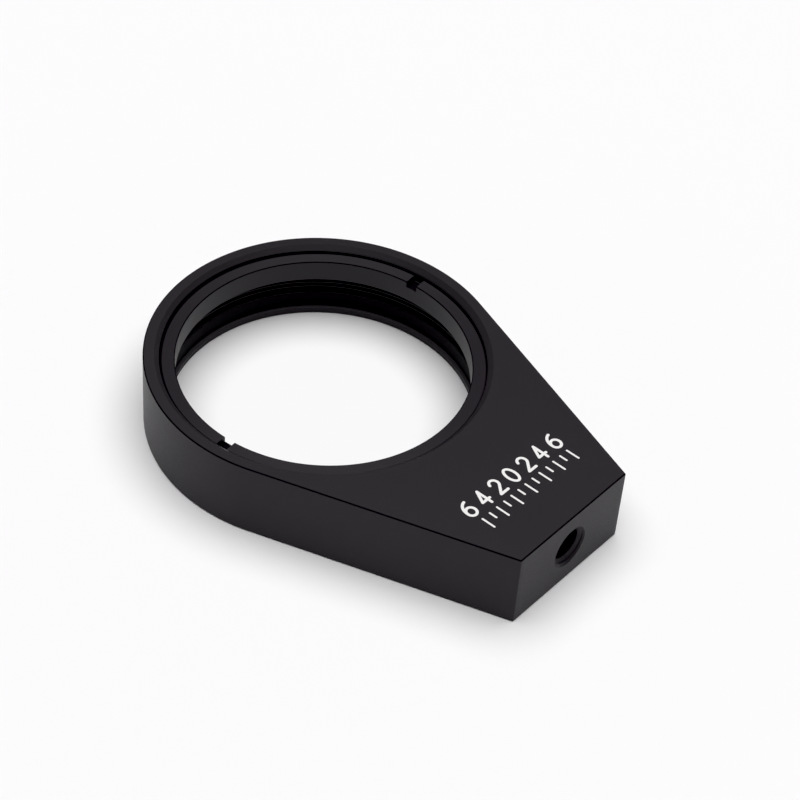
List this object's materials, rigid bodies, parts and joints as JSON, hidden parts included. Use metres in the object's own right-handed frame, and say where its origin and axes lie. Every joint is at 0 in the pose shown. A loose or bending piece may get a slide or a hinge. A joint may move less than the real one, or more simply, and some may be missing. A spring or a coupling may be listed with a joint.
{
  "type": "optical lens mount",
  "caption": "Fixed mount for a round lens: teardrop body with a lip seat and threaded bore, slotted retaining ring, and a tapped hole in its end for a post.",
  "frame": {"origin": "on the bore axis, in the plane of the lens seat", "axes": "+Z along the bore axis, from the lens seat up to the retaining ring; +X from the bore axis to the flat end face with the post hole"},
  "size_m": [0.047, 0.034, 0.008],
  "materials": {
    "body_anodise": "bead-blasted, black anodised, matte",
    "ring_anodise": "turned, black anodised, satin",
    "laser_mark": "laser-bleached anodise, matte white"
  },
  "bodies": {
    "mount": {"mount_body": "body_anodise"},
    "ring": {"retaining_ring": "ring_anodise"}
  },
  "joints": [
    {"name": "retaining_ring_travel", "type": "slide", "parent": "mount", "child": "ring", "axis": [0, 0, 1], "range_m": [-0.0025, 0.004]}
  ]
}
